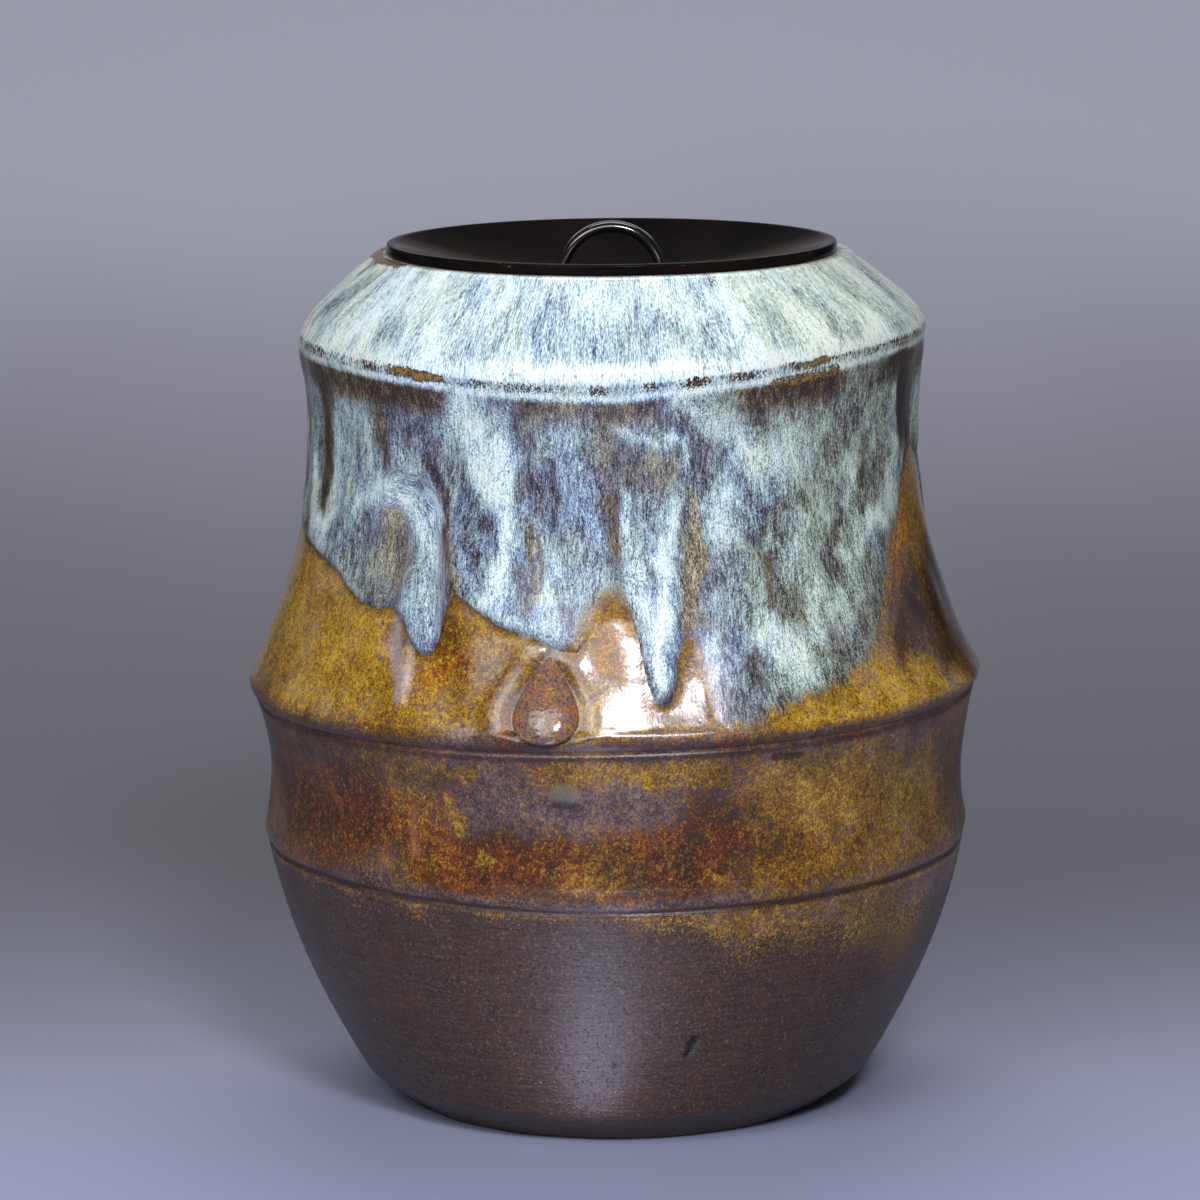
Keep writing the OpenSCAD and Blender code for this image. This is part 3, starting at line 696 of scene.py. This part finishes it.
def clay_tones(az, height, glazed):
    """Tones of the wall, with painted shade lines under its ridges, round the drop and under the bead, and a
    painted sheen band on the low ridge.
    """
    yellow, rust, umber = iron_tones(az, height, glazed)
    belly = height - ridge_line(az, BELLY_Z)
    # Two dark lines under the belly ridge: painted shade
    ridge_shade_lines = np.maximum(bell(belly + 0.4, 1.0) * 0.7, bell(belly + 2.9, 0.7))
    umber = lay(umber, 0.62, ridge_shade_lines)
    yellow = yellow * (1 - 0.4 * ridge_shade_lines)
    # Painted shadow round the drop's edge
    umber = lay(umber, 0.75, bell(drop_distance(az, height) - 0.1, 0.7))
    # Painted shadow under the bead
    umber = lay(umber, 1.1, 1 - smooth(0.5, 1.4, line_distance(az, height, BEAD_SHADE)))
    low = height - ridge_line(az, LOW_Z)
    # A grey-lilac band on the low ridge, without rust or yellow: painted sheen
    outside_sheen = 1 - 0.8 * bell(low - 0.3, 1.3) * sector(az, -52, -36, 14, 26)
    # A dark line under the low ridge: painted shade
    umber = lay(umber, 0.95, bell(low + 1.5, 0.6))
    yellow = np.maximum(yellow * outside_sheen, 0.62 * bell(low + 2.7, 0.6))
    return yellow, rust * outside_sheen, umber


def make_clay():
    columns = np.concatenate([np.arange(-90, 90, 0.6), np.arange(90, 270, 1.2)])
    radius, rows, zones = clay_section()
    az, z = np.meshgrid(columns, rows)
    zone = np.meshgrid(columns, zones)[1]
    wall = zone == WALL
    height = np.where(wall, z + hand_shift(az, z) * smooth(2, 12, z), z)
    inside = np.full(z.shape, -50.0)
    reached = (zones == WALL) & (rows > 88)
    inside[reached] = hem_distance(az[reached], height[reached])
    run = run_length(radius, rows)
    bead = 0.5 * np.sqrt(np.clip(1 - line_distance(az, height, BEAD) ** 2, 0, 1))
    cuts = [level * (1 - smooth(0.7, 1.2, line_distance(az, height, line))) for level, *line in SCARS]
    cut = np.max(cuts, axis=0)
    relief = clay_relief(az, height, run, inside, bead, cut)

    right = sector(az, -5, 25, 60, 100)
    glazed = smooth(50 - 14 * right, 66 - 4 * right, height + 2.5 * ripple(az, height, 16, 41))
    yellow, rust, umber = clay_tones(az, height, glazed)
    # A dark line just under the coat's edge: partly pooled glaze, partly painted shadow
    rim = bell(inside, 1.1) * smooth(4, 2, between(HEM_SOFT, az))
    bare = np.zeros_like(z)

    def dressed(on_wall, within=0.0, elsewhere=0.0):
        return np.where(wall, on_wall, np.where(zone == INNER, within, elsewhere))

    fields = dict(
        yellow=dressed(yellow, 0.45), rust=dressed(rust, 0.55, 0.1), umber=dressed(umber, 0.25),
        glazed=dressed(glazed, 0.8), upper=dressed(smooth(BELLY_Z, 97, height), 0.5),
        tan=np.where(zone == LIP, 1.0, dressed(smooth(184.5, 186, z))),
        red=dressed(paint(bare, az, height, RED)), milk_sheen=dressed(paint(bare, az, height, MILK_SHEEN)),
        scar=dressed(cut), bead=dressed(bead), rim=dressed(rim), flow=flow_field(az, height, run))
    piece = closed_mesh("jar_clay", columns, radius[:, None] + dressed(relief), height, fields)
    return stand_in(piece, "jar_body", "jar")


def make_lid():
    """The lid turned from its solid's own measures, with a smooth dish."""
    tree, (low, high) = solid_tree("lid"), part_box("lid")
    rim, top, foot = high.x / MM, high.z / MM, low.z / MM
    bowl = tree.ray_cast(Vector((0, 0, top + 20)), Vector((0, 0, -1)))[0].z
    turn, dish_r = 0.5, rim - 1.6

    def under(r):
        return tree.ray_cast(Vector((0.6 * r, -0.8 * r, foot - 20)), Vector((0, 0, 1)))[0].z

    quarter = np.linspace(0, math.pi / 2, 7)
    section = [(r, under(r)) for r in np.arange(0.6, rim - turn, 0.5)]
    section += [(rim - turn + turn * math.sin(t), jar_top + turn - turn * math.cos(t)) for t in quarter]
    section += [(rim - turn + turn * math.cos(t), top - turn + turn * math.sin(t)) for t in quarter]
    section += [(r, top) for r in (rim - 0.8, rim - 1.2, dish_r + 0.12)]
    section += [(r, bowl + (top - bowl) * (r / dish_r) ** 2) for r in np.linspace(dish_r - 0.12, 0.6, 48)]
    columns = np.arange(0, 360, 1.5)
    radius, height = (np.meshgrid(columns, part)[1] for part in zip(*section))
    piece = closed_mesh("lid_turned", columns, radius, height, {})
    piece.data.set_sharp_from_angle(angle=math.radians(40))
    return stand_in(piece, "lid", "cover")


# Materials

def colour(text):
    """Linear colour from a hex code."""
    parts = [int(text[i:i + 2], 16) / 255 for i in (1, 3, 5)]
    return tuple(c / 12.92 if c <= 0.04045 else ((c + 0.055) / 1.055) ** 2.4 for c in parts) + (1,)


class Graph:
    """A material's node graph. Values are numbers, hex colours or other nodes' outputs."""

    def __init__(self, name):
        self.material = bpy.data.materials.new(name)
        self.material.use_nodes = True
        self.tree = self.material.node_tree
        self.tree.nodes.clear()
        self.shader = self.tree.nodes.new("ShaderNodeBsdfPrincipled")
        self.out = self.tree.nodes.new("ShaderNodeOutputMaterial")
        self.tree.links.new(self.shader.outputs[0], self.out.inputs[0])

    def put(self, socket, value):
        if isinstance(value, bpy.types.NodeSocket):
            self.tree.links.new(value, socket)
        elif isinstance(value, str):
            socket.default_value = colour(value)
        else:
            socket.default_value = value

    def set(self, **values):
        for name, value in values.items():
            self.put(self.shader.inputs[name.replace("_", " ")], value)

    def node(self, kind, inputs, output=0, **settings):
        """One output of a new node, or all of them where output is None."""
        node = self.tree.nodes.new("ShaderNode" + kind)
        for name, value in settings.items():
            setattr(node, name, value)
        for socket, value in inputs.items():
            self.put(node.inputs[socket], value)
        return node.outputs if output is None else node.outputs[output]

    def field(self, name):
        return self.node("Attribute", {}, "Vector" if name == "flow" else "Fac", attribute_name=name)

    def place(self):
        return self.node("TexCoord", {}, "Object")

    def stretch(self, vector, scale):
        return self.node("Mapping", {"Vector": vector, "Scale": scale})

    def noise(self, vector, across, up, detail=2, rough=0.5):
        """Noise about 0.5, with as many features to a unit across and up as those numbers say."""
        place = self.stretch(vector, (across, across, up))
        return self.node("TexNoise", {"Vector": place, "Scale": 1, "Detail": detail, "Roughness": rough})

    def math(self, kind, *values):
        return self.node("Math", dict(enumerate(values)), operation=kind)

    def times(self, a, b):
        return self.math("MULTIPLY", a, b)

    def plus(self, a, b):
        return self.math("ADD", a, b)

    def scaled(self, value, weight, start):
        return self.math("MULTIPLY_ADD", value, weight, start)

    def blend(self, *terms):
        """Sum of (value, weight) terms. A value counts from a half, or from a third entry."""
        total = None
        for value, weight, *middle in terms:
            part = self.scaled(value, weight, -weight * (middle[0] if middle else 0.5))
            total = part if total is None else self.plus(total, part)
        return total

    def step(self, low, high, value, start=0.0, end=1.0):
        """From start to end as the value goes from low to high, with soft ends."""
        inputs = {"Value": value, "From Min": low, "From Max": high, "To Min": start, "To Max": end}
        return self.node("MapRange", inputs, interpolation_type="SMOOTHSTEP")

    def ramp(self, share, places, colours):
        """Colours along a value: the places, and a hex colour for each."""
        node = self.tree.nodes.new("ShaderNodeValToRGB")
        stops = node.color_ramp.elements
        for extra in places[2:]:
            stops.new(0.5)
        for stop, where, text in zip(stops, places, colours.split()):
            stop.position, stop.color = where, colour(text)
        self.put(node.inputs[0], share)
        return node.outputs[0]

    def mix(self, share, a, b):
        """Mix of two colours, which are this node's sockets 6, 7 and 2."""
        return self.node("Mix", {0: share, 6: a, 7: b}, 2, data_type="RGBA")

    def bump(self, height, distance, strength, under=None):
        inputs = {"Strength": strength, "Distance": distance, "Height": height}
        if under is not None:
            inputs["Normal"] = under
        return self.node("Bump", inputs)


# Where the colours of the iron glaze and of the pale streaks lie, from dark to light
IRON_STOPS = (0.0, 0.3, 0.6, 0.95)
STREAK_STOPS = (0.0, 0.2, 0.42, 0.66, 0.95)


def iron_fields(g):
    return [g.field(name) for name in ("yellow", "rust", "umber")]


def amber_colour(g, yellow, rust, umber, upper):
    """Iron glaze from purple-brown to rust, umber and golden olive, with its noises."""
    spot = g.stretch(g.place(), (1 / MM, 1 / MM, 1 / MM))
    cloud = g.noise(spot, 0.16, 0.14, 3, 0.6)
    drift = g.noise(spot, 0.6, 0.66, 4, 0.72)
    grain = g.noise(spot, 1.5, 1.3, 3, 0.65)
    fine = g.noise(spot, 3.4, 3, 2, 0.6)
    rough = g.blend((grain, 0.9), (fine, 1.0))
    rough = g.times(rough, g.scaled(upper, -0.1, 1.25))
    light = g.blend((yellow, 0.42, 0), (umber, -0.55, 0), (upper, 0.23, 0), (cloud, 0.7), (drift, 1.1))
    light = g.plus(g.plus(light, rough), 0.28)
    plum = g.ramp(light, IRON_STOPS, "#34282a #5f4c46 #836d64 #a6958a")
    rusty = g.ramp(light, IRON_STOPS, "#241006 #582a0c #8c4c13 #c07e26")
    olive = g.ramp(light, IRON_STOPS, "#2a1704 #5a3b0a #8c6715 #c39d38")
    rust_near = g.plus(g.blend((rust, 1, 0), (cloud, 1.2), (drift, 1.5)), rough)
    gold_near = g.plus(g.blend((yellow, 1, 0), (cloud, -1.0), (drift, 1.6)), rough)
    tone = g.mix(g.step(0.18, 0.72, rust_near), plum, rusty)
    tone = g.mix(g.step(0.14, 0.64, gold_near), tone, olive)
    specks = g.step(0.58, 0.68, g.noise(spot, 2, 1.8, 1, 0.5))
    return g.mix(g.times(specks, 0.65), tone, "#341d10"), grain, fine, cloud


def clay_colour(g, wheel, pits, grain, fine, cloud):
    """Bare clay with wheel lines, pits and dust, and thin iron glaze on it."""
    flow, yellow, rust = (g.field(name) for name in ("flow", "yellow", "rust"))
    lines = g.blend((wheel, 0.9, 0.15), (fine, 0.9, 0.4), (grain, 0.9, 0.4))
    clay = g.mix(g.step(0.25, 0.75, lines), "#2c1e14", "#503d30")
    clay = g.mix(g.step(0.4, 0.62, cloud, 0.0, 0.5), clay, "#483022")
    clay = g.mix(pits, clay, "#241c1b")
    dust = g.noise(flow, 2.6, 2.6, 2, 0.7)
    clay = g.mix(g.step(0.54, 0.66, dust, 0.0, 0.85), clay, "#221a1a")
    clay = g.mix(g.step(0.56, 0.7, grain, 0.0, 0.6), clay, "#766352")
    gold_share = g.step(0.4, 0.64, g.blend((yellow, 1, 0), (grain, 1.4), (fine, 1.0)))
    clay = g.mix(g.times(gold_share, 0.8), clay, "#6a4d1a")
    rust_share = g.step(0.44, 0.64, g.blend((rust, 1, 0), (grain, 1.2), (fine, 0.6)))
    return g.mix(g.times(rust_share, 0.7), clay, "#5c3722")


def wall_marks(g, tone, grain, cloud):
    """Streak, milky run with painted sheen, painted shadow line under the coat's edge, bead, wiped lip and
    scars darkened with painted shade, over the wall's colour.
    """
    tone = g.mix(g.field("red"), tone, "#8a5a3e")
    # The milky run is painted lavender-pale, partly as a sheen of light on it
    tone = g.mix(g.times(g.field("milk_sheen"), g.step(0.2, 0.7, grain, 0.6, 1.0)), tone, "#a399a6")
    # Painted shadow under the coat's edge, partly pooled glaze
    tone = g.mix(g.times(g.field("rim"), 0.75), tone, "#2a1a10")
    tone = g.mix(g.step(0.1, 0.55, g.field("bead"), 0.0, 0.6), tone, "#77705c")
    wiped = g.step(0.52, 0.68, g.blend((grain, 1, 0), (cloud, 1.2)))
    tone = g.mix(g.field("tan"), tone, g.mix(wiped, "#a5a89c", "#6a5442"))
    # The scars are drawn near black: painted shade inside the cuts
    return g.mix(g.field("scar"), tone, "#17110f")


def stoneware():
    """Bare clay below, iron glaze above it."""
    g = Graph("stoneware")
    flow, glazed, upper = (g.field(name) for name in ("flow", "glazed", "upper"))
    amber, grain, fine, cloud = amber_colour(g, *iron_fields(g), upper)
    wheel = g.noise(flow, 0.1, 1.3, 4, 0.72)
    pits = g.step(0.62, 0.68, g.noise(flow, 1, 1.6))
    line = g.step(0.35, 0.65, g.blend((glazed, 1, 0), (grain, 1.5), (fine, 1.3)))
    tone = g.mix(line, clay_colour(g, wheel, pits, grain, fine, cloud), amber)
    tone = wall_marks(g, tone, grain, cloud)
    rough = g.scaled(line, -0.1, 0.42)
    rough = g.scaled(upper, -0.18, rough)
    rough = g.plus(rough, g.scaled(fine, 0.14, -0.07))
    bare = g.step(0.2, 0.9, glazed, 1.0, 0.0)
    dull = g.math("SUBTRACT", 1.0, g.times(upper, 0.75))
    dents = g.math("SUBTRACT", wheel, g.times(pits, 0.8))
    normal = g.bump(g.times(dents, bare), 0.00034, 0.8)
    normal = g.bump(g.times(grain, dull), 0.00014, 0.7, normal)
    normal = g.bump(g.noise(flow, 0.22, 0.22), 0.0005, 0.16, normal)
    g.set(Base_Color=tone, Roughness=rough, Normal=normal, IOR=1.5)
    return g.material


def streak_colour(g, streak, long, fine, broad, grit):
    """The streaks' colour: cold or warm, and brown where the glaze below shows through."""
    cold = g.ramp(streak, STREAK_STOPS, "#2e2930 #535064 #74829d #a0c1cd #e4f2ee")
    warm = g.ramp(streak, STREAK_STOPS, "#2e2820 #5d584a #899687 #b3cab9 #eaeedb")
    rusty = g.ramp(streak, STREAK_STOPS, "#241a13 #483827 #776a50 #a39c84 #d8dacd")
    hue = g.noise(g.field("flow"), 0.16, 0.1, 3, 0.6)
    tone = g.mix(g.blend((g.field("cream"), 1, 0), (hue, 2.2, 0.45), (grit, 1.2)), cold, warm)
    show = g.blend((g.field("olive"), 1, 0), (long, 1.2), (fine, 1.0), (broad, 0.8))
    return g.mix(g.step(0.15, 0.85, show), tone, rusty)


def coat_marks(g, tone, long, fine, broad, grit):
    """Flecks, gold patches, the fade to amber, the dark edge of pooled glaze and painted shade, and the
    lip's brown, over the streaks.
    """
    flow = g.field("flow")
    dots = g.noise(flow, 2.3, 2.2, 2, 0.6)
    specks = g.step(0.88, 1.0, g.blend((g.field("fleck"), 1, 0), (dots, 2.8), (broad, 0.8)))
    tone = g.mix(specks, tone, g.mix(g.step(0.45, 0.6, grit), "#2a1f19", "#66503a"))
    crumbs = g.noise(flow, 1.2, 1.1, 3, 0.65)
    broken = g.plus(g.blend((crumbs, 4.4), (grit, 2.4)), 1.0)
    patch = g.times(g.field("gold"), broken)
    tone = g.mix(g.step(0.15, 0.6, patch), tone, "#33230f")
    tone = g.mix(g.step(0.5, 1.1, patch), tone, "#8f6f2e")
    amber = amber_colour(g, *iron_fields(g), 1.0)[0]
    ending = g.blend((g.field("fade"), 1.6, 0), (long, 1.6), (fine, 1.2), (broad, 1.2))
    tone = g.mix(g.step(0.45, 1.15, ending), tone, amber)
    # Painted shade along the beaded edge, partly pooled glaze
    tone = g.mix(g.times(g.field("rim"), 0.5), tone, "#2b2a33")
    return g.mix(g.step(0.62, 0.8, g.blend((g.field("lip"), 1, 0), (grit, 1.6))), tone, "#6d5640")


def ash_glaze():
    """Pale blue-white glaze over iron brown, in fine streaks down its flow."""
    g = Graph("ash_glaze")
    flow, pale = g.field("flow"), g.field("pale")
    long = g.noise(flow, 2, 0.46, 4, 0.62)
    fine = g.noise(flow, 4.6, 1.9, 3, 0.65)
    broad = g.noise(flow, 0.4, 0.16, 3, 0.6)
    grit = g.noise(flow, 3.2, 2.6, 2, 0.6)
    streak = g.blend((pale, 1, 0), (long, 1.35), (fine, 1.3), (broad, 0.8))
    streak = g.plus(streak, g.times(pale, g.blend((fine, 1.5))))
    tone = streak_colour(g, streak, long, fine, broad, grit)
    tone = coat_marks(g, tone, long, fine, broad, grit)
    normal = g.bump(g.noise(flow, 0.45, 0.22), 0.0005, 0.3)
    normal = g.bump(streak, 0.00006, 0.5, normal)
    g.set(Base_Color=tone, Roughness=g.scaled(fine, 0.12, 0.08), Normal=normal, IOR=1.52)
    return g.material


def amber_glaze():
    """Glossy iron glaze of the drop."""
    g = Graph("amber_glaze")
    yellow, rust, umber, upper = 0.12, 0.36, 0.04, 1.0
    tone, _, fine, _ = amber_colour(g, yellow, rust, umber, upper)
    normal = g.bump(g.noise(g.field("flow"), 0.3, 0.42), 0.001, 0.22)
    g.set(Base_Color=tone, Roughness=g.scaled(fine, 0.1, 0.09), Normal=normal, IOR=1.52)
    return g.material


def rubbed_edge(g, place, corner):
    """Where the lacquer is worn along the edge, found by the lid's highest corner."""
    x, y, z = g.node("SeparateXYZ", {0: place}, None)
    reach = g.math("SQRT", g.plus(g.times(x, x), g.times(y, y)))
    outer = g.step(corner.x - 1.2 * MM, corner.x - 0.2 * MM, reach)
    edge = g.times(outer, g.step(corner.z - 1.2 * MM, corner.z - 0.4 * MM, z))
    return g.times(edge, g.step(0.6, 0.7, g.noise(place, 260, 900, 3, 0.6)))


def lacquer(name, ior, corner=None):
    """Black lacquer, rubbed brown along the edge where a lid's highest corner is given."""
    g = Graph(name)
    place = g.place()
    grain = g.noise(place, 900, 900, 3, 0.6)
    broad = g.noise(place, 60, 60)
    tone = g.mix(g.step(0.3, 0.7, broad), "#0c0a0a", "#17110e")
    rough = g.scaled(broad, 0.12, 0.08)
    if corner is not None:
        browned = rubbed_edge(g, place, corner)
        tone = g.mix(browned, tone, g.mix(g.step(0.52, 0.66, grain), "#35241b", "#94806f"))
        rough = g.plus(rough, g.times(browned, 0.3))
    normal = g.bump(broad, 0.0004, 0.12)
    normal = g.bump(grain, 0.00002, 0.3, normal)
    g.set(Base_Color=tone, Roughness=rough, Normal=normal, IOR=ior)
    return g.material


def dress(piece, material):
    piece.data.materials.clear()
    piece.data.materials.append(material)


# Stage, light and camera

# The sweep in metres: half its width, its front end, where it curves up, and the curve's radius
SWEEP_HALF, SWEEP_FRONT, SWEEP_BACK, SWEEP_R = 6.0, -6.0, 0.35, 0.4


def see_through(g):
    """Leaves the sheet clear when seen from behind."""
    behind = g.node("NewGeometry", {}, "Backfacing")
    clear = g.node("BsdfTransparent", {})
    g.put(g.out.inputs[0], g.node("MixShader", {0: behind, 1: g.shader.outputs[0], 2: clear}))


def studio_paper():
    """Pale blue-grey paper, shaded to the back, the top and the sides."""
    g = Graph("studio_paper")
    place = g.place()
    x, y, z = g.node("SeparateXYZ", {0: place}, None)
    aside = g.math("ABSOLUTE", x)
    cloudy = g.scaled(g.noise(place, 3, 3), 0.1, -0.05)
    tone = g.mix(g.step(-0.18, 0.26, g.plus(y, cloudy)), "#989cb6", "#64646a")
    tone = g.mix(g.step(-0.6, -0.2, y), "#75757c", tone)
    tone = g.mix(g.step(0.0, 0.16, g.plus(z, cloudy)), tone, "#9b9ba5")
    tone = g.mix(g.step(0.2, 0.4, z), tone, "#85755f")
    tone = g.mix(g.times(g.step(0.23, 0.42, aside), g.step(0.01, 0.06, z)), tone, "#2c2c30")
    tone = g.mix(g.step(0.7, 1.6, aside), tone, "#f2f2f6")
    g.set(Base_Color=tone, Roughness=0.8)
    see_through(g)
    return g.material


def make_stage():
    profile = [(SWEEP_FRONT, 0.0), (-1.0, 0.0), (SWEEP_BACK, 0.0)]
    for t in np.linspace(0, math.pi / 2, 17)[1:]:
        profile.append((SWEEP_BACK + SWEEP_R * math.sin(t), SWEEP_R - SWEEP_R * math.cos(t)))
    points = [(x, y, z) for y, z in profile for x in (-SWEEP_HALF, SWEEP_HALF)]
    faces = [(2 * i, 2 * i + 1, 2 * i + 3, 2 * i + 2) for i in range(len(profile) - 1)]
    mesh = bpy.data.meshes.new("studio_sweep")
    mesh.from_pydata(points, [], faces)
    mesh.shade_smooth()
    mesh.materials.append(studio_paper())
    add_object("studio_sweep", mesh)


def area_light(name, azimuth, elevation, size, power, tint=(1, 1, 1), distance=1.5, aim=(0, 0, 0.1)):
    """An oval lamp that faces its aim. Sizes are in metres and power in watts."""
    data = bpy.data.lights.new(name, "AREA")
    data.shape = "ELLIPSE"
    data.size, data.size_y = size
    data.energy, data.color = power, tint
    lamp = add_object(name, data)
    a, e = math.radians(azimuth), math.radians(elevation)
    back = Vector((math.sin(a) * math.cos(e), -math.cos(a) * math.cos(e), math.sin(e)))
    lamp.location = Vector(aim) + back * distance
    lamp.rotation_mode = "QUATERNION"
    lamp.rotation_quaternion = back.to_track_quat("Z", "Y")
    lamp.visible_camera = False


def make_light():
    area_light("key", -9, 34, (1.3, 0.8), 11.4, (0.98, 0.99, 1.03))
    area_light("fill", -36, 34, (0.8, 0.6), 4.6, (0.96, 0.97, 1.05))
    area_light("heart", 11, 33, (0.34, 0.19), 12, (0.93, 0.95, 1.12))
    area_light("back", 178, 62, (1.4, 0.4), 10)
    # A small card on the floor in front of the jar, which shines up at it
    area_light("card", 0, -90, (0.03, 0.09), 0.026, (0.78, 0.86, 1.25), 0.3, (-0.008, -0.105, 0.302))
    world = bpy.data.worlds.new("studio")
    world.use_nodes = True
    world.node_tree.nodes["Background"].inputs["Color"].default_value = (0.07, 0.07, 0.078, 1)
    bpy.context.scene.world = world


# The photograph's view: place in metres, turn, tilt down and roll in degrees, and the lens of a 36 mm frame
CAMERA_AT, CAMERA_TURN, CAMERA_DOWN, CAMERA_ROLL, LENS = (0, -1.18, 0.314), 0.153, 9.8, -0.45, 162.6


def make_camera():
    data = bpy.data.cameras.new("camera")
    data.sensor_width, data.lens = 36, LENS
    data.clip_start, data.clip_end = 0.05, 20
    cam = add_object("camera", data)
    turned = Matrix.Translation(CAMERA_AT)
    for degrees, axis in ((CAMERA_TURN, "Z"), (90 - CAMERA_DOWN, "X"), (CAMERA_ROLL, "Z")):
        turned = turned @ Matrix.Rotation(math.radians(degrees), 4, axis)
    cam.matrix_world = turned
    bpy.context.scene.camera = cam


dress(make_clay(), stoneware())
dress(make_coat(), ash_glaze())
dress(make_drop(), amber_glaze())
# The lid has little gloss, so that it stays black against the pale sweep
lid_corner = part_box("lid")[1]
dress(make_lid(), lacquer("lacquer", 1.1, lid_corner))
dress(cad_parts["knob_arch"], lacquer("knob_lacquer", 1.7))
make_stage()
make_light()
make_camera()
bpy.context.scene.view_settings.view_transform = "Standard"
